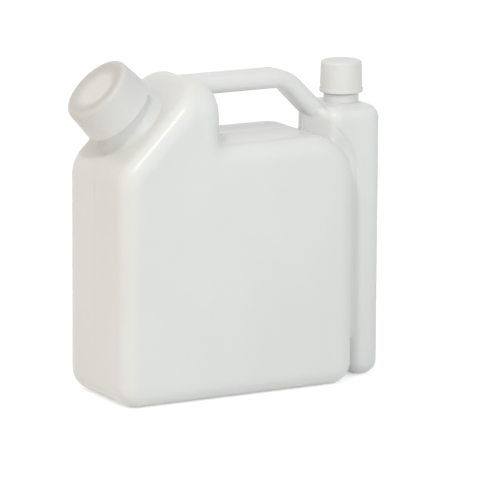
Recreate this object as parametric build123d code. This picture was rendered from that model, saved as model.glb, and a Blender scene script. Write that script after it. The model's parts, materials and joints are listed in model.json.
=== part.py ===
from build123d import *
import math
import os

# Fuel mixing bottle: one blown shell of natural polyethylene with a fuel chamber, an oil column
# and a hollow handle that joins them, closed by two screw caps with sealing discs.
# X runs along the bottle, Y is its depth and Z is up. Sizes are in millimetres.
# The origin is the middle of the whole bottle's length and depth, on the surface that it stands on.
# The pieces are built round the middle of the fuel chamber and moved there at the end.

# Shell
wall = 1.4
cut_overrun = 1.0
blend_sink = 0.3
smooth_angle = 5.0

# Fuel chamber
chamber_width = 141.0
chamber_depth = 67.0
chamber_height = 136.5
chamber_edge_radius = 10.0
base_corner_extra = 2.0
chamber_shoulder_radius = 25.0

# Raised block at the left of the chamber, with the slope that carries the filler neck
left_wall_drop = 11.5
left_shoulder_radius = 20.0
slope_angle = 45.0
block_rise = 33.5
ridge_flat = 0.9
ridge_end_radius = 18.0
block_foot_radius = 4.0

# Hollow under the base
base_ring_width = 9.0
base_hollow_depth = 2.0
base_hollow_corner = 10.0
hollow_corner_limit_share = 0.4

# Oil column, which follows the chamber's rounded shoulder at the width of the groove
groove_width = 3.5
column_width = 19.5
column_depth = 40.0
column_rise = 12.5
column_base_height = 0.4
column_ear_height = 13.3
column_corner_radius = 8.0
column_corner_extra = 0.4
corner_limit_share = 0.95
width_limit_share = 0.45
web_thickness = 3.0
web_base_height = 14.0
web_reach = 7.0

# Hollow handle between the two
handle_height = 10.0
handle_depth = 18.0
handle_corner_share = 0.46
handle_drop = 0.2
handle_bend_radius = 16.0
handle_leg_run = 29.2
handle_column_root = 10.0
handle_column_drop = 13.4

# Filler neck, square to the slope
filler_place = 21.6
filler_neck_height = 26.2
filler_neck_radius = 16.9
filler_neck_wall = 2.3
filler_flare_radius = 5.5
filler_lip_radius = 0.6

# Filler cap and its sealing disc
filler_cap_rim_height = 10.8
filler_thread_gap = 1.5
filler_cap_wall = 1.1
filler_cap_draft = 1.25
filler_cap_panel = 2.4
filler_cap_edge_radius = 2.4
filler_cap_rim_round = 0.5
filler_dish_border = 4.6
filler_dish_slope = 5.0
filler_dish_round = 4.0
filler_dish_depth = 1.3
filler_liner_thickness = 1.2

# Oil neck
oil_neck_inset = 15.0
oil_neck_height = 19.4
oil_neck_radius = 8.5
oil_neck_wall = 1.9
oil_collar_step = 1.0
oil_collar_height = 4.6
oil_collar_round = 0.6
oil_lip_radius = 0.4

# Oil cap and its sealing disc
oil_cap_collar_gap = 0.4
oil_thread_gap = 1.2
oil_cap_wall = 1.3
oil_cap_draft = 0.4
oil_cap_lip_step = 0.35
oil_cap_lip_height = 2.2
oil_cap_panel = 1.6
oil_cap_edge_radius = 1.6
oil_cap_rim_round = 0.5
oil_liner_thickness = 1.0

# Fit of the sealing discs inside their caps
liner_clearance = 0.4

# Places that several pieces share
chamber_left = -chamber_width / 2
chamber_right = chamber_width / 2
chamber_base_corner = chamber_edge_radius + base_corner_extra
slope_rise = math.tan(math.radians(slope_angle))
slope_stretch = 1 / math.cos(math.radians(slope_angle))
left_wall_height = chamber_height - left_wall_drop
ridge_height = chamber_height + block_rise
ridge_left = chamber_left + (ridge_height - left_wall_height) / slope_rise
ridge_rounding = chamber_edge_radius * (1 + math.tan(math.radians(slope_angle / 2)))
block_right = ridge_left + ridge_rounding + ridge_flat

# The column's ear stands on the circle that keeps the groove's width from the chamber's shoulder
shoulder_x = chamber_right - chamber_shoulder_radius
shoulder_z = chamber_height - chamber_shoulder_radius
ear_circle_radius = chamber_shoulder_radius + groove_width
column_height = chamber_height + column_rise
ear_foot_z = column_height - column_ear_height
ear_overhang = math.sqrt(ear_circle_radius**2 - (ear_foot_z - shoulder_z) ** 2)
column_ear = shoulder_x + ear_overhang
column_left = chamber_right + groove_width
column_right = column_left + column_width

# The column's corners are as large as its ear and its width leave room for
ear_half_angle = math.acos(-ear_overhang / ear_circle_radius) / 2
ear_corner_room = column_ear_height / (1 + 1 / math.tan(ear_half_angle))
column_corner = min(
    column_corner_radius, ear_corner_room * corner_limit_share, column_width * width_limit_share
)

# Route of the handle, from the block's rounded edge to a root inside the column
handle_start_x = block_right - chamber_edge_radius
handle_axis_z = ridge_height - handle_drop - handle_height / 2
leg_end_x = column_ear + handle_column_root
leg_end_z = column_height - handle_column_drop
handle_bend_x = leg_end_x - handle_leg_run
leg_fall = (handle_axis_z - leg_end_z) / handle_leg_run

# Radii that the necks and their caps share
filler_bore_radius = filler_neck_radius - filler_neck_wall
filler_cap_bore_radius = filler_neck_radius + filler_thread_gap
oil_neck_x = column_right - oil_neck_inset
oil_bore_radius = oil_neck_radius - oil_neck_wall
oil_collar_radius = oil_neck_radius + oil_collar_step
oil_cap_bore_radius = oil_neck_radius + oil_thread_gap

# Working planes of the two necks, each with its origin where the neck's axis leaves the shell
filler_foot = (chamber_left + filler_place, 0, left_wall_height + filler_place * slope_rise)
filler_axis = (-math.sin(math.radians(slope_angle)), 0, math.cos(math.radians(slope_angle)))
filler_plane = Plane(origin=filler_foot, x_dir=(0, 1, 0), z_dir=filler_axis)
oil_plane = Plane(origin=(oil_neck_x, 0, column_height), x_dir=(0, 1, 0), z_dir=(0, 0, 1))


def round_sharp_edges(solid, radius):
    """Round every edge of a solid whose two faces don't already run into each other smoothly."""
    sharp = []
    for edge in solid.edges():
        middle = edge.position_at(1 / 2)
        sides = [face for face in solid.faces() if any(edge.is_same(other) for other in face.edges())]
        if sides[0].normal_at(middle).get_angle(sides[-1].normal_at(middle)) > smooth_angle:
            sharp.append(edge)
    return fillet(sharp, radius)


def fuel_chamber(inset):
    """The fuel chamber with its sloped block, moved inwards by an inset on every side."""
    left = chamber_left + inset
    right = chamber_right - inset
    ridge = ridge_height - inset
    top = chamber_height - inset
    block = block_right - inset
    slope_low = left_wall_height + inset * slope_rise - inset * slope_stretch
    slope_high = ridge_left + (inset * slope_stretch - inset) / slope_rise
    corners = {
        (left, inset): chamber_base_corner - inset,
        (right, inset): chamber_base_corner - inset,
        (right, top): chamber_shoulder_radius - inset,
        (block, top): block_foot_radius + inset,
        (block, ridge): 0,
        (slope_high, ridge): 0,
        (left, slope_low): left_shoulder_radius - inset,
    }
    side = chamber_depth / 2 - inset
    arch_radius = ridge_end_radius - inset
    front_view = FilletPolyline(*corners.keys(), radius=corners.values(), close=True)
    end_view = FilletPolyline(
        (-side, inset), (side, inset), (side, ridge), (-side, ridge),
        radius=[0, 0, arch_radius, arch_radius], close=True,
    )
    body = extrude(Plane.XZ * make_face(front_view), amount=side, both=True)
    arch = extrude(Plane.YZ * make_face(end_view), amount=chamber_width, both=True)
    return round_sharp_edges(body & arch, chamber_edge_radius - inset)


def oil_column(inset):
    """The oil column, whose left side keeps clear of the chamber's wall and rounded shoulder."""
    left = column_left + inset
    right = column_right - inset
    ear = column_ear + inset
    base = column_base_height + inset
    top = column_height - inset
    outline = make_face(Polyline((ear, base), (right, base), (right, top), (ear, top), close=True))
    beside = make_face(
        Polyline((ear, base), (left, base), (left, shoulder_z), (ear, shoulder_z), close=True)
    )
    round_shoulder = Pos(shoulder_x, shoulder_z) * Circle(ear_circle_radius + inset)
    outline = outline - beside - round_shoulder
    corners = [v for v in outline.vertices() if abs(v.Y - shoulder_z) > cut_overrun]
    outline = fillet(corners, column_corner - inset)
    body = extrude(Plane.XZ * outline, amount=column_depth / 2 - inset, both=True)
    return round_sharp_edges(body, column_corner - column_corner_extra - inset)


def handle(inset):
    """The handle's bar and slanted leg, running into the block and the column."""
    route = FilletPolyline(
        (handle_start_x, handle_axis_z),
        (handle_bend_x, handle_axis_z),
        (leg_end_x, leg_end_z),
        radius=handle_bend_radius,
    )
    section = RectangleRounded(
        handle_depth - 2 * inset,
        handle_height - 2 * inset,
        handle_height * handle_corner_share - inset,
    )
    place = Plane(origin=(handle_start_x, 0, handle_axis_z), x_dir=(0, 1, 0), z_dir=(1, 0, 0))
    return sweep(place * section, path=Plane.XZ * route)


def web():
    """The pinched web at mid depth that closes the groove and the end of the finger opening."""
    left = column_ear - web_reach
    right = column_left + column_width / 2
    leg_above_left = leg_end_z + (leg_end_x - left) * leg_fall
    outline = Polyline(
        (left, web_base_height),
        (right, web_base_height),
        (right, leg_end_z),
        (leg_end_x, leg_end_z),
        (left, leg_above_left),
        close=True,
    )
    return extrude(Plane.XZ * make_face(outline), amount=web_thickness / 2, both=True)


def turned(plane, corners):
    """A solid turned about a plane's normal, from corners of radius, height and rounding."""
    points = [(radius, height) for radius, height, rounding in corners]
    roundings = [rounding for radius, height, rounding in corners]
    outline = make_face(FilletPolyline(*points, radius=roundings, close=True))
    return plane * revolve(Plane.XZ * outline, axis=Axis.Z)


def filler_neck():
    """The filler neck's outside, flared where it leaves the slope."""
    foot_radius = filler_neck_radius + filler_flare_radius + cut_overrun
    return turned(
        filler_plane,
        [
            (0, -blend_sink - wall, 0),
            (foot_radius, -blend_sink - wall, 0),
            (foot_radius, -blend_sink, 0),
            (filler_neck_radius, -blend_sink, filler_flare_radius),
            (filler_neck_radius, filler_neck_height, filler_lip_radius),
            (0, filler_neck_height, 0),
        ],
    )


def filler_bore():
    """The way through the filler neck, which opens out along the flare into the chamber."""
    throat_radius = filler_neck_radius - wall
    throat_height = filler_flare_radius
    mouth_radius = throat_radius + filler_flare_radius + wall + cut_overrun
    mouth_height = -blend_sink - wall
    return turned(
        filler_plane,
        [
            (0, filler_neck_height + cut_overrun, 0),
            (filler_bore_radius, filler_neck_height + cut_overrun, 0),
            (filler_bore_radius, throat_height + throat_radius - filler_bore_radius, 0),
            (throat_radius, throat_height, 0),
            (throat_radius, mouth_height, filler_flare_radius + wall),
            (mouth_radius, mouth_height, 0),
            (mouth_radius, mouth_height - cut_overrun, 0),
            (0, mouth_height - cut_overrun, 0),
        ],
    )


def oil_neck():
    """The oil neck's outside, with the collar below its cap."""
    return turned(
        oil_plane,
        [
            (0, -column_corner, 0),
            (oil_collar_radius, -column_corner, 0),
            (oil_collar_radius, oil_collar_height, oil_collar_round),
            (oil_neck_radius, oil_collar_height, 0),
            (oil_neck_radius, oil_neck_height, oil_lip_radius),
            (0, oil_neck_height, 0),
        ],
    )


def oil_bore():
    """The way through the oil neck."""
    low = -wall - cut_overrun
    high = oil_neck_height + cut_overrun
    return turned(
        oil_plane, [(0, low, 0), (oil_bore_radius, low, 0), (oil_bore_radius, high, 0), (0, high, 0)]
    )


def base_hollow(outset):
    """The shallow hollow under the base, moved outwards by an outset for the floor above it."""
    width = chamber_width - 2 * (chamber_base_corner + base_ring_width - outset)
    depth = chamber_depth - 2 * (chamber_edge_radius + base_ring_width - outset)
    height = base_hollow_depth + outset
    corner = min(base_hollow_corner + outset, depth * hollow_corner_limit_share)
    outline = RectangleRounded(width, depth, corner)
    pocket = extrude(Plane.XY * outline, amount=height)
    return fillet(pocket.faces().sort_by(Axis.Z)[-1].edges(), base_hollow_depth / 2 + outset)


def bottle_body():
    """The blown shell: both chambers, the handle, the web and the necks, all hollow inside."""
    outside = fuel_chamber(0) + oil_column(0) + handle(0) + web() + filler_neck() + oil_neck()
    outside = outside - base_hollow(0)
    inside = fuel_chamber(wall) - base_hollow(wall)
    inside = inside + oil_column(wall) + handle(wall) + filler_bore() + oil_bore()
    return outside - inside


def filler_cap():
    """The filler cap: a drafted skirt under a panel with a wide dish."""
    top = filler_neck_height + filler_liner_thickness + filler_cap_panel
    rim = filler_cap_rim_height
    top_radius = filler_cap_bore_radius + filler_cap_wall
    rim_radius = top_radius + filler_cap_draft
    dish_radius = top_radius - filler_dish_border
    return turned(
        filler_plane,
        [
            (0, top - filler_dish_depth, 0),
            (dish_radius - filler_dish_slope, top - filler_dish_depth, filler_dish_round),
            (dish_radius, top, filler_dish_round),
            (top_radius, top, filler_cap_edge_radius),
            (rim_radius, rim, filler_cap_rim_round),
            (filler_cap_bore_radius, rim, filler_cap_rim_round),
            (filler_cap_bore_radius, top - filler_cap_panel, 0),
            (0, top - filler_cap_panel, 0),
        ],
    )


def oil_cap():
    """The oil cap: a drafted skirt with a narrow lip round its rim."""
    top = oil_neck_height + oil_liner_thickness + oil_cap_panel
    rim = oil_collar_height + oil_cap_collar_gap
    lip_top = rim + oil_cap_lip_height
    top_radius = oil_cap_bore_radius + oil_cap_wall
    skirt_radius = top_radius + oil_cap_draft
    rim_radius = skirt_radius + oil_cap_lip_step
    return turned(
        oil_plane,
        [
            (0, top, 0),
            (top_radius, top, oil_cap_edge_radius),
            (skirt_radius, lip_top, 0),
            (rim_radius, lip_top - oil_cap_lip_step, 0),
            (rim_radius, rim, oil_cap_rim_round),
            (oil_cap_bore_radius, rim, oil_cap_rim_round),
            (oil_cap_bore_radius, top - oil_cap_panel, 0),
            (0, top - oil_cap_panel, 0),
        ],
    )


def liner(plane, seat_height, thickness, cap_bore_radius):
    """A sealing disc that lies on a neck's lip, clear of the cap's bore."""
    radius = cap_bore_radius - liner_clearance
    low = seat_height
    high = seat_height + thickness
    return turned(plane, [(0, low, 0), (radius, low, 0), (radius, high, 0), (0, high, 0)])


pieces = {
    "bottle_body": bottle_body(),
    "filler_cap": filler_cap(),
    "filler_cap_liner": liner(
        filler_plane, filler_neck_height, filler_liner_thickness, filler_cap_bore_radius
    ),
    "oil_cap": oil_cap(),
    "oil_cap_liner": liner(oil_plane, oil_neck_height, oil_liner_thickness, oil_cap_bore_radius),
}

# The move that puts the origin in the middle of the whole length
left_end = min(piece.bounding_box().min.X for piece in pieces.values())
right_end = max(piece.bounding_box().max.X for piece in pieces.values())
to_middle = Pos(-(left_end + right_end) / 2, 0, 0)

os.makedirs("parts", exist_ok=True)
for name, piece in pieces.items():
    export_step(to_middle * piece, f"parts/{name}.step")
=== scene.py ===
"""Fuel mixing bottle: its finishes, screw threads, mould marks and soft web, and a studio round it."""
import json
import math

import bpy
import numpy as np
from bpy.props import FloatProperty, FloatVectorProperty, PointerProperty
from mathutils import Matrix, Vector
from mathutils.bvhtree import BVHTree


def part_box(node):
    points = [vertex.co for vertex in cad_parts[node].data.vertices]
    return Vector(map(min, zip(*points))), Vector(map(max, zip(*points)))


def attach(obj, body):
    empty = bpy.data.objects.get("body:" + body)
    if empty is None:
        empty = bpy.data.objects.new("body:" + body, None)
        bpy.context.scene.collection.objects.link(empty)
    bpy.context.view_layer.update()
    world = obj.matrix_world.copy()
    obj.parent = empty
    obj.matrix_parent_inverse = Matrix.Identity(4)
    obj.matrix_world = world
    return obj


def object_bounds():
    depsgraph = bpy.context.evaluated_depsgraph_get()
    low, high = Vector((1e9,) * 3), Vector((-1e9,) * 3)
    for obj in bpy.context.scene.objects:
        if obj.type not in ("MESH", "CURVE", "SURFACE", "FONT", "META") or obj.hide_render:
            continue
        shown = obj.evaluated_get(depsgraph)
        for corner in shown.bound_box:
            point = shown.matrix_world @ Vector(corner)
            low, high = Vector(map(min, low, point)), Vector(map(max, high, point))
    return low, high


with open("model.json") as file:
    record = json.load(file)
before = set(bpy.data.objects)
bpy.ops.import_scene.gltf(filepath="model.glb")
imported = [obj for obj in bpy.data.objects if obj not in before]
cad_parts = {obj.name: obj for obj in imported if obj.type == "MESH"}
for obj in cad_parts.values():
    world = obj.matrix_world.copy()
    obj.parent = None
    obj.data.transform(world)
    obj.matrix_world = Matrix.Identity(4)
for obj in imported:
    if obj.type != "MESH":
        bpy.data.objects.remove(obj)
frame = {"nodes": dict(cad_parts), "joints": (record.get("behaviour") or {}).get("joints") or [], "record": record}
CAD_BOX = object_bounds()

bl_info = {
    "name": "Fuel mixing bottle",
    "version": (1, 0, 0),
    "blender": (4, 5, 0),
    "location": "View3D > Sidebar > Bottle",
    "description": "Dresses a two-chamber fuel mixing bottle and sets up its studio",
    "category": "Object",
}

MM = 0.001
FULL_TURN = 2 * math.pi
# Faces that meet at a smaller angle are shaded as one, and points that lie closer are one point
SMOOTH_ANGLE = math.radians(40)
TOUCHING = 0.001 * MM
JOINTS = {joint["name"]: joint for joint in frame["joints"]}
COUPLINGS = {coupling["joint"]: coupling for coupling in frame["record"]["behaviour"]["couplings"]}
OPENINGS = {opening["name"]: opening for opening in frame["record"]["physics"]["openings"]}


def length(name, description, default_mm):
    """A length that is shown in the scene's units, from a default in millimetres."""
    return FloatProperty(
        name=name, description=description, default=default_mm * MM, min=0, unit="LENGTH", precision=5
    )


def colour(name, description, default):
    """A colour in linear values."""
    return FloatVectorProperty(
        name=name, description=description, default=default, min=0, max=1, size=3, subtype="COLOR"
    )


def share(name, description, default):
    """A plain number from nought to one."""
    return FloatProperty(name=name, description=description, default=default, min=0, max=1)


def number(name, description, default, least=0):
    """A plain number with a lower limit."""
    return FloatProperty(name=name, description=description, default=default, min=least)


def angle(name, description, default_degrees):
    """An angle, from a default in degrees."""
    return FloatProperty(
        name=name, description=description, default=math.radians(default_degrees), unit="ROTATION"
    )


def power(name, description, default):
    """A lamp's power in watts."""
    return FloatProperty(name=name, description=description, default=default, min=0, unit="POWER")


def lead_mm(lift):
    """Rise of a cap in one turn, from the coupling of its lift to its turn."""
    return COUPLINGS[lift]["ratio"] * FULL_TURN / MM


class FillerThreadSizes(bpy.types.PropertyGroup):
    """Sizes of the thread under the large cap"""

    lead: length("Lead", "Rise of the thread in one turn", lead_mm("filler_cap_lift"))
    turns: number("Turns", "Length of the thread in turns", 1.7, least=0.5)
    height: length("Height", "How far the ridge stands out from its wall", 1.1)
    root_width: length("Root width", "Width of the ridge at its wall", 2.2)
    crest_width: length("Crest width", "Width of the ridge at its crest", 0.9)
    lip_distance: length("Below the lip", "From the neck's lip to the middle of the thread's end", 3.0)
    gap: length("Thread gap", "From the neck's wall to the cap's wall", 1.5)


class OilThreadSizes(bpy.types.PropertyGroup):
    """Sizes of the thread under the small cap"""

    lead: length("Lead", "Rise of the thread in one turn", lead_mm("oil_cap_lift"))
    turns: number("Turns", "Length of the thread in turns", 2.0, least=0.5)
    height: length("Height", "How far the ridge stands out from its wall", 0.85)
    root_width: length("Root width", "Width of the ridge at its wall", 1.5)
    crest_width: length("Crest width", "Width of the ridge at its crest", 0.6)
    lip_distance: length("Below the lip", "From the neck's lip to the middle of the thread's end", 2.6)
    gap: length("Thread gap", "From the neck's wall to the cap's wall", 1.2)


class MouldMarkSizes(bpy.types.PropertyGroup):
    """Sizes of the marks that the moulds leave"""

    seam_radius: length("Parting line radius", "Radius of the bead where the mould halves met", 0.25)
    seam_proud: length("Parting line height", "How far that bead stands out of the wall", 0.06)
    lip_clearance: length("Lip clearance", "How far below a lip the bead ends", 1.5)
    base_clearance: length("Base clearance", "How far above the floor the bead ends", 1.0)
    pinch_length: length("Pinch-off length", "Length of the ridge under the base", 80.0)
    pinch_width: length("Pinch-off width", "Width of the ridge under the base", 1.8)
    pinch_height: length("Pinch-off height", "How far that ridge hangs below the hollow", 0.8)


class SoftWebSizes(bpy.types.PropertyGroup):
    """Sizes of the soft hollow between the chamber, the column and the handle's leg"""

    groove_radius: length("Groove radius", "Radius of the tightest hollow left in the groove", 4.5)
    foot_radius: length("Foot radius", "Radius of the tightest hollow left at the foot of the leg", 14.0)
    blend_height: length("Blend height", "Height over which the one runs into the other", 10.0)
    flank_slope: number("Flank slope", "How fast the web thickens from its free edges", 2.0, least=0.1)
    thickest: length("Thickest", "Most that the flanks reach out from mid depth", 15.0)
    spacing: length("Spacing", "Distance between the surface's points", 0.5)
    least_fill: length("Least fill", "Height above the wall from which the surface counts as a fill", 0.4)
    run_out: length("Run-out", "How far beyond a fill the surface may run out on the wall", 3.0)
    cover: length("Cover", "How far the surface's hidden border lies below the wall", 0.06)


class BottleFinish(bpy.types.PropertyGroup):
    """Colours and finish of the plastics"""

    shell_thick: colour("Shell, thick", "Milky plastic where the wall is thick", (0.825, 0.83, 0.822))
    shell_thin: colour("Shell, thin", "Milky plastic where the wall is thin", (0.785, 0.79, 0.778))
    cap_light: colour("Caps, light", "Denser plastic of the caps, at its lightest", (0.80, 0.80, 0.785))
    cap_dark: colour("Caps, dark", "Denser plastic of the caps, at its darkest", (0.765, 0.76, 0.742))
    # Painted shade: the large cap's face is darkened in a soft ring between the two radii below, where its panel
    # slopes into its dish
    cap_ring_painted_shade: colour("Cap ring", "Share of its tint that the large cap's ring keeps", (0.785, 0.775, 0.755))
    liner_light: colour("Foam, light", "Foam of the sealing discs, at its lightest", (0.88, 0.88, 0.86))
    liner_dark: colour("Foam, dark", "Foam of the sealing discs, in its cells", (0.74, 0.74, 0.72))
    ring_inner: length("Ring inside", "Radius at which that ring starts", 9.0)
    ring_outer: length("Ring outside", "Radius at which that ring ends", 21.0)
    shell_translucency: share("Shell translucency", "How much light the wall lets in", 0.35)
    cap_translucency: share("Cap translucency", "How much light the caps let in", 0.15)
    light_reach: length("Light reach", "How far light spreads inside the plastic", 0.8)


class StudioSettings(bpy.types.PropertyGroup):
    """Camera, floor and light"""

    target: FloatVectorProperty(
        name="Target",
        description="Point that the camera looks at",
        default=(13.744 * MM, -7.266 * MM, 73.810 * MM),
        subtype="XYZ",
        unit="LENGTH",
    )
    azimuth: angle("Azimuth", "Camera's angle round the bottle", -29.046)
    elevation: angle("Elevation", "Camera's angle above the floor", 11.879)
    roll: angle("Roll", "Camera's turn about its own view", 0.328)
    distance: length("Distance", "From the camera to its target", 2609.66)
    lens: FloatProperty(
        name="Lens", description="Focal length in millimetres", default=352.08, min=1, unit="CAMERA"
    )
    floor_size: length("Floor size", "Length of the floor's sides", 8000)
    floor_gap: length("Floor gap", "How far the floor lies below the base, to stay apart from it", 0.05)
    floor_colour: colour("Floor", "Pale floor", (0.86, 0.86, 0.86))
    floor_glow: share("Floor glow", "Light added to the floor where it is seen, to make it white", 0.54)
    world_colour: colour("Surroundings", "Colour of the light from all round", (1.0, 1.0, 1.0))
    world_level: number("Surroundings level", "Strength of the light from all round", 0.48)
    soft_size: length("Soft lamp size", "Length of the soft lamps' sides", 1600)
    edge_size: length("Edge lamp size", "Length of the small lamp's sides", 100)
    key_colour: colour("Key colour", "Lamp in front of the bottle, and the edge lamp", (0.93, 0.985, 1.0))
    key_power: power("Key power", "Power of the lamp in front of the bottle", 7.3)
    side_colour: colour("Side colour", "Lamp at the left", (1.0, 0.60, 0.12))
    side_power: power("Side power", "Power of the lamp at the left", 2.4)
    top_colour: colour("Top colour", "Lamp overhead", (1.0, 0.90, 0.76))
    top_power: power("Top power", "Power of the lamp overhead", 4.8)
    edge_power: power("Edge power", "Power of the small lamp that lights the slope's edge", 4.5)


class BottleSettings(bpy.types.PropertyGroup):
    """All that a user would change"""

    filler_thread: PointerProperty(type=FillerThreadSizes)
    oil_thread: PointerProperty(type=OilThreadSizes)
    marks: PointerProperty(type=MouldMarkSizes)
    soft_web: PointerProperty(type=SoftWebSizes)
    finish: PointerProperty(type=BottleFinish)
    studio: PointerProperty(type=StudioSettings)


class Closure:
    """One neck with its cap: where it stands and how large it is, read from the frame."""

    # Gap between a sealing disc's edge and the cap's wall
    disc_clearance = 0.4 * MM

    def __init__(self, cap, disc, turn):
        low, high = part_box(disc)
        self.cap = cap
        self.foot = Vector(JOINTS[turn]["pos_m"])
        self.axis = Vector(JOINTS[turn]["axis"]).normalized()
        disc_radius = (high.y - low.y) / 2
        across = math.sqrt(1 - min(1, self.axis.z**2))
        thickness = (high.z - low.z - 2 * disc_radius * across) / self.axis.z
        self.lip = ((low + high) / 2 - self.foot).dot(self.axis) - thickness / 2
        self.cap_wall_radius = disc_radius + self.disc_clearance

    def place(self):
        """The move from an upright neck at the origin to this one."""
        return Matrix.Translation(self.foot) @ self.axis.to_track_quat("Z", "Y").to_matrix().to_4x4()


FILLER = Closure("filler_cap", "filler_cap_liner", "filler_cap_turn")
OIL = Closure("oil_cap", "oil_cap_liner", "oil_cap_turn")


def settings():
    """The scene's settings for the bottle."""
    return bpy.context.scene.fuel_bottle


def start_clean():
    """Leave edit mode and deselect everything."""
    if bpy.context.mode != "OBJECT":
        bpy.ops.object.mode_set(mode="OBJECT")
    bpy.ops.object.select_all(action="DESELECT")


def make_active(obj):
    """Select one object alone and make it the active one."""
    start_clean()
    obj.select_set(True)
    bpy.context.view_layer.objects.active = obj


def select_vertices(obj, wanted):
    """In edit mode, select the vertices for which a test is true."""
    bpy.ops.object.mode_set(mode="EDIT")
    bpy.ops.mesh.select_mode(type="VERT")
    bpy.ops.mesh.select_all(action="DESELECT")
    bpy.ops.object.mode_set(mode="OBJECT")
    for vertex in obj.data.vertices:
        vertex.select = bool(wanted(vertex))
    bpy.ops.object.mode_set(mode="EDIT")


def edit_all():
    """Go into edit mode, or stay there, with everything selected."""
    bpy.ops.object.mode_set(mode="EDIT")
    bpy.ops.mesh.select_all(action="SELECT")


def face_outwards():
    """Turn all faces of the active mesh outwards and leave edit mode."""
    edit_all()
    bpy.ops.mesh.normals_make_consistent(inside=False)
    bpy.ops.object.mode_set(mode="OBJECT")


def apply_place(obj):
    """Move an object's place, turn and scale into its mesh."""
    make_active(obj)
    bpy.ops.object.transform_apply(location=True, rotation=True, scale=True)


def hand_over(obj, name, body, slot):
    """Name a finished piece, give it its slot's finish and let it ride on its body."""
    make_active(obj)
    bpy.ops.object.shade_smooth_by_angle(angle=SMOOTH_ANGLE)
    obj.name = name
    obj.data.name = name
    obj.data.materials.clear()
    obj.data.materials.append(finish_of(slot))
    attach(obj, body)
    start_clean()


class Nodes:
    """Short calls for building a material's nodes."""

    # Most of a noise's values lie between these
    noise_low = 0.3
    noise_high = 0.7

    def __init__(self, tree):
        self.tree = tree
        tree.nodes.clear()

    def add(self, kind, values=None, **properties):
        """A node with its properties and the values of its sockets."""
        node = self.tree.nodes.new(kind)
        for name, value in properties.items():
            setattr(node, name, value)
        for name, value in (values or {}).items():
            node.inputs[name].default_value = value
        return node

    def link(self, start, end):
        """A link from an output to an input."""
        self.tree.links.new(start, end)

    def noise(self, place, stretch, scale, detail):
        """Noise on the piece's own coordinates, stretched along its axes."""
        mapping = self.add("ShaderNodeMapping", {"Scale": stretch})
        noise = self.add("ShaderNodeTexNoise", {"Scale": scale, "Detail": detail})
        self.link(place.outputs["Object"], mapping.inputs["Vector"])
        self.link(mapping.outputs["Vector"], noise.inputs["Vector"])
        return noise.outputs["Fac"]

    def ranged(self, value, low, high):
        """A noise value spread over a range."""
        spread = self.add(
            "ShaderNodeMapRange",
            {"From Min": self.noise_low, "From Max": self.noise_high, "To Min": low, "To Max": high},
        )
        self.link(value, spread.inputs["Value"])
        return spread.outputs["Result"]

    def blended(self, factor, first, second):
        """Two colours blended by a factor."""
        mix = self.add("ShaderNodeMix", data_type="RGBA")
        mix.inputs["A"].default_value = (*first, 1)
        mix.inputs["B"].default_value = (*second, 1)
        self.link(factor, mix.inputs["Factor"])
        return mix.outputs["Result"]

    def painted_ring_shade(self, place, tint, ring):
        """A tint that a soft ring round a neck's axis darkens, as painted shade."""
        closure = ring["closure"]
        turn = closure.axis.to_track_quat("Z", "Y").to_euler()
        mapping = self.add(
            "ShaderNodeMapping", {"Location": closure.foot, "Rotation": turn}, vector_type="TEXTURE"
        )
        flat = self.add("ShaderNodeVectorMath", {1: (1, 1, 0)}, operation="MULTIPLY")
        radius = self.add("ShaderNodeVectorMath", operation="LENGTH")
        band = self.add(
            "ShaderNodeMapRange",
            {"From Min": ring["inner"], "From Max": ring["outer"], "To Min": 0, "To Max": math.pi},
        )
        depth = self.add("ShaderNodeMath", operation="SINE")
        darker = self.add("ShaderNodeMix", data_type="RGBA", blend_type="MULTIPLY")
        darker.inputs["B"].default_value = (*ring["keeps"], 1)
        self.link(place.outputs["Object"], mapping.inputs["Vector"])
        self.link(mapping.outputs["Vector"], flat.inputs[0])
        self.link(flat.outputs["Vector"], radius.inputs[0])
        self.link(radius.outputs["Value"], band.inputs["Value"])
        self.link(band.outputs["Result"], depth.inputs[0])
        self.link(depth.outputs["Value"], darker.inputs["Factor"])
        self.link(tint, darker.inputs["A"])
        return darker.outputs["Result"]

    def bumped(self, height, distance, below=None):
        """A bump from a height, on top of another bump."""
        bump = self.add("ShaderNodeBump", {"Strength": 1, "Distance": distance})
        self.link(height, bump.inputs["Height"])
        if below is not None:
            self.link(below, bump.inputs["Normal"])
        return bump.outputs["Normal"]


# What the moulded plastics share: their shine, how far red, green and blue light spread in them,
# and the form of their noises
PLASTIC_IOR = 1.5
PLASTIC_SHINE = 0.4
PLASTIC_SPREAD = (1.0, 0.94, 0.84)
CLOUD_STRETCH = (1, 1, 0.6)
CLOUD_DETAIL = 3
FINE_DETAIL = 2


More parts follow.
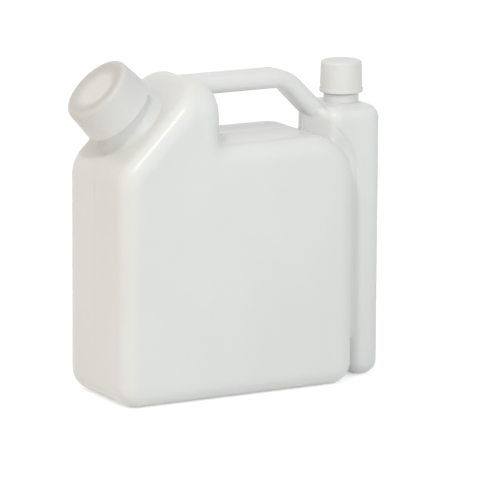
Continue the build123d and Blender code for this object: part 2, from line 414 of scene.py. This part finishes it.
def moulded_plastic(
    name, light, dark, translucency, light_reach, cloud_scale, lines, peel, roughness, ring=None
):
    """A milky plastic: cloudy tint, faint lines drawn along the piece and a fine orange peel, and a ring of
    painted shade if one is given.
    """
    material = bpy.data.materials.new(name)
    material.use_nodes = True
    nodes = Nodes(material.node_tree)
    place = nodes.add("ShaderNodeTexCoord")
    shader = nodes.add(
        "ShaderNodeBsdfPrincipled",
        {
            "IOR": PLASTIC_IOR,
            "Specular IOR Level": PLASTIC_SHINE,
            "Subsurface Weight": translucency,
            "Subsurface Radius": PLASTIC_SPREAD,
            "Subsurface Scale": light_reach,
        },
    )
    output = nodes.add("ShaderNodeOutputMaterial")
    clouds = nodes.noise(place, CLOUD_STRETCH, cloud_scale, CLOUD_DETAIL)
    drawn = nodes.noise(place, (lines["across"], lines["across"], lines["along"]), 1, FINE_DETAIL)
    skin = nodes.noise(place, (1, 1, 1), peel["scale"], FINE_DETAIL)
    tint = nodes.blended(nodes.ranged(clouds, 0, 1), light, dark)
    # Painted shade: a soft darker ring on the large cap's face
    if ring is not None:
        tint = nodes.painted_ring_shade(place, tint, ring)
    gloss = nodes.ranged(clouds, roughness[0], roughness[1])
    relief = nodes.bumped(skin, peel["height"], nodes.bumped(drawn, lines["height"]))
    nodes.link(tint, shader.inputs["Base Color"])
    nodes.link(gloss, shader.inputs["Roughness"])
    nodes.link(relief, shader.inputs["Normal"])
    nodes.link(shader.outputs["BSDF"], output.inputs["Surface"])
    return material


def shell_plastic():
    """Natural polyethylene of the blown shell."""
    finish = settings().finish
    return moulded_plastic(
        "natural_polyethylene",
        finish.shell_thick,
        finish.shell_thin,
        finish.shell_translucency,
        finish.light_reach,
        cloud_scale=16,
        lines={"across": 150, "along": 4, "height": 0.05 * MM},
        peel={"scale": 700, "height": 0.03 * MM},
        roughness=(0.28, 0.31),
    )


def cap_plastic(ring=None):
    """Denser white plastic of the caps."""
    finish = settings().finish
    return moulded_plastic(
        "cap_plastic",
        finish.cap_light,
        finish.cap_dark,
        finish.cap_translucency,
        finish.light_reach,
        cloud_scale=45,
        lines={"across": 60, "along": 60, "height": 0.02 * MM},
        peel={"scale": 1100, "height": 0.02 * MM},
        roughness=(0.36, 0.46),
        ring=ring,
    )


def large_cap_painted_shade():
    """The caps' plastic with painted shade: a darker ring where the large cap's panel slopes into its dish."""
    finish = settings().finish
    ring = {
        "closure": FILLER,
        "inner": finish.ring_inner,
        "outer": finish.ring_outer,
        "keeps": finish.cap_ring_painted_shade,
    }
    return cap_plastic(ring)


def liner_foam():
    """Foam sheet of the sealing discs, with fine cells."""
    finish = settings().finish
    cell_depth = 0.1 * MM
    material = bpy.data.materials.new("liner_foam")
    material.use_nodes = True
    nodes = Nodes(material.node_tree)
    place = nodes.add("ShaderNodeTexCoord")
    cells = nodes.add("ShaderNodeTexVoronoi", {"Scale": 1600})
    shader = nodes.add("ShaderNodeBsdfPrincipled", {"Roughness": 0.8, "Specular IOR Level": 0.25})
    output = nodes.add("ShaderNodeOutputMaterial")
    nodes.link(place.outputs["Object"], cells.inputs["Vector"])
    tint = nodes.blended(cells.outputs["Distance"], finish.liner_light, finish.liner_dark)
    nodes.link(tint, shader.inputs["Base Color"])
    nodes.link(nodes.bumped(cells.outputs["Distance"], cell_depth), shader.inputs["Normal"])
    nodes.link(shader.outputs["BSDF"], output.inputs["Surface"])
    return material


FINISHES = {
    "natural_polyethylene": shell_plastic,
    "cap_plastic": cap_plastic,
    "large_cap_painted_shade": large_cap_painted_shade,
    "liner_foam": liner_foam,
}


def finish_of(slot):
    """The material of a slot, made when it is first asked for."""
    return bpy.data.materials.get("finish_" + slot) or make_finish(slot)


def make_finish(slot):
    """Build a slot's material and keep it under its own name."""
    material = FINISHES[slot]()
    material.name = "finish_" + slot
    return material


def dress_nodes(*names):
    """Give nodes of the frame the finish of their slot."""
    slots = {part["node"]: part["material_slot"] for part in frame["record"]["subparts"]}
    for name in names:
        dress_node(name, slots[name])


def dress_node(name, finish):
    """Give one node of the frame a finish."""
    node = frame["nodes"][name]
    node.data.materials.clear()
    node.data.materials.append(finish_of(finish))


class ThreadRidge:
    """A helical ridge on an upright wall at the origin, before it is put on its neck."""

    steps_per_turn = 72
    # Steps over which each end runs out, and how deep the root lies in the wall
    fade_steps = 14
    sink = 0.3 * MM
    # Rounding of the crest's corners, as a share of its width
    round_share = 0.25
    round_segments = 3

    def __init__(self, sizes, wall_radius, inward, start_height):
        self.sizes = sizes
        self.wall_radius = wall_radius
        self.outward = -1 if inward else 1
        self.start_height = start_height

    def profile(self):
        """The ridge's section, in the plane of X and Z."""
        sizes = self.sizes
        depth = sizes.height + self.sink
        middle = self.wall_radius + self.outward * (depth / 2 - self.sink)
        bpy.ops.mesh.primitive_plane_add(size=1, location=(0, 0, 0), rotation=(math.pi / 2, 0, 0))
        ridge = bpy.context.object
        apply_place(ridge)
        edit_all()
        bpy.ops.transform.resize(value=(depth, 1, sizes.root_width), center_override=(0, 0, 0))
        select_vertices(ridge, lambda vertex: vertex.co.x * self.outward > 0)
        narrowing = sizes.crest_width / sizes.root_width
        bpy.ops.transform.resize(value=(1, 1, narrowing), center_override=(0, 0, 0))
        rounding = sizes.crest_width * self.round_share
        bpy.ops.mesh.bevel(offset=rounding, segments=self.round_segments, affect="VERTICES")
        edit_all()
        bpy.ops.mesh.delete(type="ONLY_FACE")
        edit_all()
        bpy.ops.transform.translate(value=(middle, 0, self.start_height))
        bpy.ops.object.mode_set(mode="OBJECT")
        return ridge

    def wind(self, ridge):
        """Wind the section up the wall."""
        screw = ridge.modifiers.new("thread", "SCREW")
        screw.axis = "Z"
        screw.angle = FULL_TURN * self.sizes.turns
        screw.screw_offset = self.sizes.lead * self.sizes.turns
        screw.steps = round(self.steps_per_turn * self.sizes.turns)
        screw.render_steps = screw.steps
        screw.use_merge_vertices = False
        steps = screw.steps
        make_active(ridge)
        bpy.ops.object.modifier_apply(modifier=screw.name)
        return steps

    def fade(self, ridge, steps, corners):
        """Let both ends of the ridge run out into the wall."""
        for step in range(self.fade_steps):
            size = math.sin(math.pi / 2 * (step + 0.5) / self.fade_steps)
            for ring in (step, steps - step):
                turn = FULL_TURN * self.sizes.turns * ring / steps
                root_radius = self.wall_radius - self.outward * self.sink
                root = (
                    root_radius * math.cos(turn),
                    root_radius * math.sin(turn),
                    self.start_height + self.sizes.lead * turn / FULL_TURN,
                )
                select_vertices(ridge, lambda vertex: vertex.index // corners == ring)
                bpy.ops.transform.resize(value=(size, size, size), center_override=root)
        edit_all()
        bpy.ops.mesh.fill_holes(sides=0)
        face_outwards()

    def build(self, place):
        """The whole ridge, moved to its neck."""
        start_clean()
        ridge = self.profile()
        corners = len(ridge.data.vertices)
        self.fade(ridge, self.wind(ridge), corners)
        ridge.matrix_world = place
        apply_place(ridge)
        return ridge


def thread_start(closure, sizes):
    """Height of the lower end of a neck's thread."""
    return closure.lip - sizes.lip_distance - sizes.lead * sizes.turns


def neck_thread(closure, sizes, name):
    """The thread round a neck."""
    wall_radius = closure.cap_wall_radius - sizes.gap
    ridge = ThreadRidge(sizes, wall_radius, False, thread_start(closure, sizes)).build(closure.place())
    hand_over(ridge, name, "bottle", "natural_polyethylene")


def cap_thread(closure, sizes, name):
    """The thread inside a cap, half a lead below the neck's."""
    start_height = thread_start(closure, sizes) - sizes.lead / 2
    ridge = ThreadRidge(sizes, closure.cap_wall_radius, True, start_height).build(closure.place())
    hand_over(ridge, name, closure.cap, "cap_plastic")


def solid_of(node):
    """A node's faces, to be met by rays."""
    mesh = frame["nodes"][node].data
    points = [vertex.co for vertex in mesh.vertices]
    return BVHTree.FromPolygons(points, [polygon.vertices for polygon in mesh.polygons])


class BOTTLE_OT_dress_shell(bpy.types.Operator):
    """Give the blown shell its milky plastic"""

    bl_idname = "fuel_bottle.dress_shell"
    bl_label = "Shell finish"

    def execute(self, context):
        dress_nodes("bottle_body")
        return {"FINISHED"}


class BOTTLE_OT_dress_caps(bpy.types.Operator):
    """Give the caps and their sealing discs their finishes"""

    bl_idname = "fuel_bottle.dress_caps"
    bl_label = "Cap finishes"

    def execute(self, context):
        dress_nodes("oil_cap", "filler_cap_liner", "oil_cap_liner")
        # The large cap's finish carries a ring of painted shade on its face
        dress_node("filler_cap", "large_cap_painted_shade")
        return {"FINISHED"}


class BOTTLE_OT_neck_threads(bpy.types.Operator):
    """Wind a thread round each neck"""

    bl_idname = "fuel_bottle.neck_threads"
    bl_label = "Neck threads"

    def execute(self, context):
        neck_thread(FILLER, settings().filler_thread, "filler_neck_thread")
        neck_thread(OIL, settings().oil_thread, "oil_neck_thread")
        return {"FINISHED"}


class BOTTLE_OT_cap_threads(bpy.types.Operator):
    """Wind a thread inside each cap"""

    bl_idname = "fuel_bottle.cap_threads"
    bl_label = "Cap threads"

    def execute(self, context):
        cap_thread(FILLER, settings().filler_thread, "filler_cap_thread")
        cap_thread(OIL, settings().oil_thread, "oil_cap_thread")
        return {"FINISHED"}


class BOTTLE_OT_parting_line(bpy.types.Operator):
    """Run a fine bead round the shell where the two halves of its mould met"""

    bl_idname = "fuel_bottle.parting_line"
    bl_label = "Parting line"

    # How far from the wall, and how far to each side, a point is tested for being in the open air
    probe = 1.0 * MM
    reach = 60 * MM
    bead_resolution = 2

    def in_open_air(self, solid, vertex):
        """True on the shell's outside: the way to the front or to the back is free there."""
        point = vertex.co + vertex.normal * self.probe
        ways = (Vector((0, 1, 0)), Vector((0, -1, 0)))
        return any(solid.ray_cast(point, way, self.reach)[0] is None for way in ways)

    def below_lips(self, point):
        """True where the bead is clear of the sealing discs."""
        margin = settings().marks.lip_clearance
        for closure in (FILLER, OIL):
            offset = point - closure.foot
            height = offset.dot(closure.axis)
            near = (offset - closure.axis * height).length < closure.cap_wall_radius
            if near and height > closure.lip - margin:
                return False
        return True

    def execute(self, context):
        marks = settings().marks
        start_clean()
        solid = solid_of("bottle_body")
        bead = bpy.data.objects.new("parting_line", frame["nodes"]["bottle_body"].data.copy())
        context.scene.collection.objects.link(bead)
        make_active(bead)
        edit_all()
        bpy.ops.mesh.remove_doubles(threshold=TOUCHING)
        edit_all()
        bpy.ops.mesh.bisect(plane_co=(0, 0, 0), plane_no=(0, 1, 0))
        bpy.ops.object.mode_set(mode="OBJECT")

        def on_line(vertex):
            at_mid_depth = abs(vertex.co.y) < TOUCHING and vertex.co.z > marks.base_clearance
            return at_mid_depth and self.below_lips(vertex.co) and self.in_open_air(solid, vertex)

        select_vertices(bead, on_line)
        bpy.ops.transform.shrink_fatten(value=marks.seam_proud - marks.seam_radius)
        bpy.ops.mesh.select_all(action="INVERT")
        bpy.ops.mesh.delete(type="VERT")
        bpy.ops.object.mode_set(mode="OBJECT")
        bpy.ops.object.convert(target="CURVE")
        bead = context.object
        bead.data.bevel_depth = marks.seam_radius
        bead.data.bevel_resolution = self.bead_resolution
        bead.data.use_fill_caps = True
        bpy.ops.object.convert(target="MESH")
        hand_over(context.object, "parting_line", "bottle", "natural_polyethylene")
        return {"FINISHED"}


class BOTTLE_OT_soft_web(bpy.types.Operator):
    """Fill the groove beside the column and the foot of the handle's leg with a soft hollow"""

    bl_idname = "fuel_bottle.soft_web"
    bl_label = "Soft web"

    # Distance from which the shell's reach is read, and the reach where the way past it is free
    view_distance = 1.0
    nothing = -1.0
    # How often the surface is softened, and the steepest step that is softened, in spacings
    softenings = 14
    steepest = 2.0
    # How fast the surface may rise above the shell, going down from the grid's top
    top_slope = 4.0
    # A point is in sight where it stands above the shell by more than the cover divided by this
    cover_parts = 3
    # Depths of the hidden border's rows below the shell, in covers
    border_depths = (1, 5)
    merge_distance = 0.01 * MM

    def reaches(self, solid, across, up):
        """How far the shell reaches out from mid depth, seen from the front, at each point of a grid."""
        start = CAD_BOX[0].y - self.view_distance
        reach = np.full((len(across), len(up)), self.nothing)
        for column, x in enumerate(across):
            for row, z in enumerate(up):
                hit = solid.ray_cast(Vector((x, start, z)), Vector((0, 1, 0)))[0]
                if hit is not None:
                    reach[column, row] = -hit.y
        return reach

    def rolled(self, reach, radius, spacing, side):
        """The surface that a ball's middle follows on it (side 1), or the way back (side -1)."""
        steps = int(radius / spacing)
        padded = np.pad(reach, steps, constant_values=-side * np.inf)
        result = np.full(reach.shape, -side * np.inf)
        for i in range(-steps, steps + 1):
            for j in range(-steps, steps + 1):
                rest = radius**2 - (i * i + j * j) * spacing**2
                if rest < 0:
                    continue
                moved = padded[
                    steps + i : steps + i + reach.shape[0], steps + j : steps + j + reach.shape[1]
                ]
                moved = moved + side * math.sqrt(rest)
                result = np.maximum(result, moved) if side > 0 else np.minimum(result, moved)
        return result

    def closed(self, reach, radius, spacing):
        """The surface that a ball rolled over it from outside can touch."""
        border = int(radius / spacing) + 1
        free = np.pad(reach, border, constant_values=self.nothing)
        ball = self.rolled(free, radius, spacing, 1)
        return self.rolled(ball, radius, spacing, -1)[border:-border, border:-border]

    def block(self, padded):
        """Each point and its eight neighbours, as moved copies of a grid that is padded by one."""
        width, height = padded.shape[0] - 2, padded.shape[1] - 2
        return [padded[i : i + width, j : j + height] for i in range(3) for j in range(3)]

    def spread(self, values, empty, pick):
        """Each point's highest value, or any truth, among itself and its neighbours."""
        return pick.reduce(self.block(np.pad(values, 1, constant_values=empty)))

    def softened(self, level, solid, step):
        """The surface with its edges softened, where a step higher than a limit counts as that limit."""
        on_shell = self.block(np.pad(solid, 1))
        for softening in range(self.softenings):
            total = np.zeros(level.shape)
            for near, counts in zip(self.block(np.pad(level, 1, mode="edge")), on_shell):
                total += np.where(counts, np.clip(near, level - step, level + step), level)
            level = total / len(on_shell)
        return level

    def surface(self, sizes, across, up, reach):
        """The soft surface's reach, and which points it keeps: those in sight and a hidden border."""
        solid = reach > self.nothing / 2
        thin = reach[solid].min()
        on_web = solid & (reach < thin + sizes.cover)
        left = across[on_web.any(axis=1)][0]
        low = up[on_web.any(axis=0)][0]
        from_edge = np.minimum.outer(across - left, up - low)
        flank = thin + sizes.flank_slope * from_edge
        raised = np.where(on_web, np.maximum(reach, np.minimum(flank, sizes.thickest)), reach)
        groove = self.closed(raised, sizes.groove_radius, sizes.spacing)
        foot = self.closed(raised, sizes.foot_radius, sizes.spacing)
        foot_z = OPENINGS["handle_gap_end"]["box_m"][0][2]
        rise = np.clip((up - foot_z) / sizes.blend_height + 1, 0, 1)
        soft = groove + (foot - groove) * rise * rise * (3 - 2 * rise)
        column_front = reach[-1].max()
        most = np.maximum(reach, np.minimum(flank, column_front))
        most = np.minimum(most, reach + self.top_slope * (up[-1] - up))
        step = sizes.spacing * self.steepest
        soft = np.minimum(self.softened(np.minimum(soft, most), solid, step), most)
        near_fill = soft > reach + sizes.least_fill
        for ring in range(round(sizes.run_out / sizes.spacing)):
            near_fill = self.spread(near_fill, False, np.logical_or)
        seen = solid & near_fill & (soft > reach + sizes.cover / self.cover_parts)
        kept = seen
        level = np.where(seen, soft, self.nothing)
        for depth in self.border_depths:
            border = self.spread(kept, False, np.logical_or) & ~kept & solid
            highest = self.spread(level, self.nothing, np.maximum) + sizes.spacing
            level = np.where(border, np.minimum(reach - depth * sizes.cover, highest), level)
            kept = kept | border
        return level, kept

    def lay_on(self, sheet, across, up, level, kept):
        """Put the points of a unit sheet on the surface and delete those that it doesn't keep."""
        dropped = set()
        for vertex in sheet.data.vertices:
            column = round((vertex.co.x + 0.5) * (len(across) - 1))
            row = round((vertex.co.y + 0.5) * (len(up) - 1))
            vertex.co = (across[column], -level[column, row], up[row])
            if not kept[column, row]:
                dropped.add(vertex.index)
        select_vertices(sheet, lambda vertex: vertex.index in dropped)
        bpy.ops.mesh.delete(type="VERT")

    def close_up(self, sheet):
        """Draw the sheet's edge to mid depth and close it with its mirror image at the back."""
        edit_all()
        bpy.ops.mesh.region_to_loop()
        bpy.ops.mesh.extrude_edges_move()
        bpy.ops.transform.resize(value=(1, 0, 1), center_override=(0, 0, 0))
        bpy.ops.object.mode_set(mode="OBJECT")
        mirror = sheet.modifiers.new("back", "MIRROR")
        mirror.use_axis = (False, True, False)
        mirror.merge_threshold = self.merge_distance
        make_active(sheet)
        bpy.ops.object.modifier_apply(modifier=mirror.name)
        edit_all()
        bpy.ops.mesh.delete_loose()
        face_outwards()

    def execute(self, context):
        sizes = settings().soft_web
        gap_end = OPENINGS["handle_gap_end"]["box_m"][1][0]
        neck_foot = OPENINGS["oil_neck"]["box_m"][0][2]
        oil_low, oil_high = OPENINGS["oil_chamber"]["box_m"]
        columns = round((oil_high[0] - gap_end) / sizes.spacing)
        rows = int((neck_foot - oil_low[2]) / sizes.spacing) - 1
        start_clean()
        bpy.ops.mesh.primitive_grid_add(x_subdivisions=columns, y_subdivisions=rows, size=1)
        sheet = context.object
        across = gap_end + sizes.spacing * np.arange(columns + 1)
        up = oil_low[2] + sizes.spacing * np.arange(rows + 1)
        reach = self.reaches(solid_of("bottle_body"), across, up)
        self.lay_on(sheet, across, up, *self.surface(sizes, across, up, reach))
        self.close_up(sheet)
        hand_over(sheet, "soft_web", "bottle", "natural_polyethylene")
        return {"FINISHED"}


class BOTTLE_OT_pinch_off(bpy.types.Operator):
    """Hang the pinched ridge in the hollow under the base"""

    bl_idname = "fuel_bottle.pinch_off"
    bl_label = "Pinch-off"

    # How the ridge narrows from its root to its lower edge, and its rounding as a share of its width
    narrowing = (0.94, 0.35, 1)
    round_share = 0.125
    round_segments = 3

    def execute(self, context):
        marks = settings().marks
        start_clean()
        low, high = (Vector(corner) for corner in OPENINGS["fuel_chamber"]["box_m"])
        middle = Vector(((low.x + high.x) / 2, 0, CAD_BOX[0].z))
        ceiling = solid_of("bottle_body").ray_cast(middle, Vector((0, 0, 1)))[0]
        if ceiling is None:
            raise RuntimeError("the base has no face above its middle")
        bpy.ops.mesh.primitive_cube_add(size=1, location=(0, 0, 0))
        ridge = context.object
        edit_all()
        # Its upper half is sunk in the wall
        size = (marks.pinch_length, marks.pinch_width, marks.pinch_height * 2)
        bpy.ops.transform.resize(value=size, center_override=(0, 0, 0))
        select_vertices(ridge, lambda vertex: vertex.co.z < 0)
        bpy.ops.transform.resize(value=self.narrowing, center_override=(0, 0, 0))
        edit_all()
        rounding = marks.pinch_width * self.round_share
        bpy.ops.mesh.bevel(offset=rounding, segments=self.round_segments, affect="EDGES")
        bpy.ops.object.mode_set(mode="OBJECT")
        ridge.location = ceiling
        apply_place(ridge)
        hand_over(ridge, "pinch_off", "bottle", "natural_polyethylene")
        return {"FINISHED"}


class BOTTLE_OT_studio(bpy.types.Operator):
    """Lay the floor, hang the lamps and set up the camera"""

    bl_idname = "fuel_bottle.studio"
    bl_label = "Studio"

    # Width of the camera's sensor in millimetres
    sensor_width = 36
    # Lamp places, as directions from the bottle, and their distance in metres
    key_way = (0.0, -0.93, 0.37)
    side_way = (-1.0, -0.1, 0.25)
    top_way = (-0.5, 0.0, 0.87)
    edge_way = (-0.47, -0.48, 0.74)
    lamp_distance = 1.6

    def seen_rays(self, nodes):
        """One where a ray is the camera's, or a reflection or a view through glass."""
        path = nodes.add("ShaderNodeLightPath")
        both = nodes.add("ShaderNodeMath", operation="MAXIMUM")
        all_three = nodes.add("ShaderNodeMath", operation="MAXIMUM")
        nodes.link(path.outputs["Is Camera Ray"], both.inputs[0])
        nodes.link(path.outputs["Is Glossy Ray"], both.inputs[1])
        nodes.link(both.outputs["Value"], all_three.inputs[0])
        nodes.link(path.outputs["Is Transmission Ray"], all_three.inputs[1])
        return all_three.outputs["Value"]

    def world(self, studio):
        """Even light from all round, and white where it is seen."""
        world = bpy.data.worlds.new("studio")
        world.use_nodes = True
        bpy.context.scene.world = world
        nodes = Nodes(world.node_tree)
        light = nodes.add(
            "ShaderNodeBackground", {"Color": (*studio.world_colour, 1), "Strength": studio.world_level}
        )
        white = nodes.add("ShaderNodeBackground", {"Color": (1, 1, 1, 1), "Strength": 1})
        mix = nodes.add("ShaderNodeMixShader")
        output = nodes.add("ShaderNodeOutputWorld")
        nodes.link(self.seen_rays(nodes), mix.inputs["Fac"])
        nodes.link(light.outputs["Background"], mix.inputs[1])
        nodes.link(white.outputs["Background"], mix.inputs[2])
        nodes.link(mix.outputs["Shader"], output.inputs["Surface"])

    def floor(self, studio):
        """A pale floor that keeps the bottle's shadow and runs out into white."""
        start_clean()
        level = CAD_BOX[0].z - studio.floor_gap
        bpy.ops.mesh.primitive_plane_add(size=studio.floor_size, location=(0, 0, level))
        floor = bpy.context.object
        floor.name = "floor"
        apply_place(floor)
        material = bpy.data.materials.new("floor")
        material.use_nodes = True
        nodes = Nodes(material.node_tree)
        matt = nodes.add("ShaderNodeBsdfDiffuse", {"Color": (*studio.floor_colour, 1)})
        glow = nodes.add("ShaderNodeEmission", {"Color": (1, 1, 1, 1), "Strength": studio.floor_glow})
        lit = nodes.add("ShaderNodeAddShader")
        mix = nodes.add("ShaderNodeMixShader")
        output = nodes.add("ShaderNodeOutputMaterial")
        nodes.link(matt.outputs["BSDF"], lit.inputs[0])
        nodes.link(glow.outputs["Emission"], lit.inputs[1])
        nodes.link(self.seen_rays(nodes), mix.inputs["Fac"])
        nodes.link(matt.outputs["BSDF"], mix.inputs[1])
        nodes.link(lit.outputs["Shader"], mix.inputs[2])
        nodes.link(mix.outputs["Shader"], output.inputs["Surface"])
        floor.data.materials.append(material)

    def lamp(self, name, way, tint, power, size):
        """A square soft lamp that faces the bottle's middle."""
        middle = (CAD_BOX[0] + CAD_BOX[1]) / 2
        away = Vector(way).normalized()
        bpy.ops.object.light_add(type="AREA", location=middle + away * self.lamp_distance)
        lamp = bpy.context.object
        lamp.name = name
        lamp.rotation_euler = (-away).to_track_quat("-Z", "Y").to_euler()
        lamp.data.shape = "SQUARE"
        lamp.data.size = size
        lamp.data.color = tint
        lamp.data.energy = power

    def camera(self, studio):
        """The camera at the photograph's angle, with no shift."""
        turn = (
            Matrix.Rotation(studio.azimuth, 3, "Z")
            @ Matrix.Rotation(math.pi / 2 - studio.elevation, 3, "X")
            @ Matrix.Rotation(studio.roll, 3, "Z")
        )
        back = turn @ Vector((0, 0, 1))
        bpy.ops.object.camera_add(
            location=Vector(studio.target) + back * studio.distance, rotation=turn.to_euler()
        )
        camera = bpy.context.object
        camera.data.lens = studio.lens
        camera.data.sensor_width = self.sensor_width
        camera.data.dof.use_dof = False
        bpy.context.scene.camera = camera

    def execute(self, context):
        studio = settings().studio
        context.scene.view_settings.view_transform = "Standard"
        self.world(studio)
        self.floor(studio)
        self.lamp("key_lamp", self.key_way, studio.key_colour, studio.key_power, studio.soft_size)
        self.lamp("side_lamp", self.side_way, studio.side_colour, studio.side_power, studio.soft_size)
        self.lamp("top_lamp", self.top_way, studio.top_colour, studio.top_power, studio.soft_size)
        self.lamp("edge_lamp", self.edge_way, studio.key_colour, studio.edge_power, studio.edge_size)
        self.camera(studio)
        start_clean()
        return {"FINISHED"}


class BOTTLE_PT_panel(bpy.types.Panel):
    """Sidebar panel that lists the bottle's steps"""

    bl_idname = "BOTTLE_PT_panel"
    bl_label = "Fuel mixing bottle"
    bl_space_type = "VIEW_3D"
    bl_region_type = "UI"
    bl_category = "Bottle"

    def draw(self, context):
        for step in STEPS:
            self.layout.operator(step.bl_idname)


STEPS = (
    BOTTLE_OT_dress_shell,
    BOTTLE_OT_dress_caps,
    BOTTLE_OT_neck_threads,
    BOTTLE_OT_cap_threads,
    BOTTLE_OT_parting_line,
    BOTTLE_OT_soft_web,
    BOTTLE_OT_pinch_off,
    BOTTLE_OT_studio,
)
CLASSES = (
    FillerThreadSizes,
    OilThreadSizes,
    MouldMarkSizes,
    SoftWebSizes,
    BottleFinish,
    StudioSettings,
    BottleSettings,
    *STEPS,
    BOTTLE_PT_panel,
)


def register():
    """Register the classes and hang the settings on the scene."""
    for cls in CLASSES:
        bpy.utils.register_class(cls)
    bpy.types.Scene.fuel_bottle = PointerProperty(type=BottleSettings)


def unregister():
    """Take the settings and the classes away again."""
    del bpy.types.Scene.fuel_bottle
    for cls in reversed(CLASSES):
        bpy.utils.unregister_class(cls)


def main():
    """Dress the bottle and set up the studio."""
    register()
    bpy.ops.fuel_bottle.dress_shell()
    bpy.ops.fuel_bottle.dress_caps()
    bpy.ops.fuel_bottle.neck_threads()
    bpy.ops.fuel_bottle.cap_threads()
    bpy.ops.fuel_bottle.parting_line()
    bpy.ops.fuel_bottle.soft_web()
    bpy.ops.fuel_bottle.pinch_off()
    bpy.ops.fuel_bottle.studio()


if __name__ == "__main__":
    main()
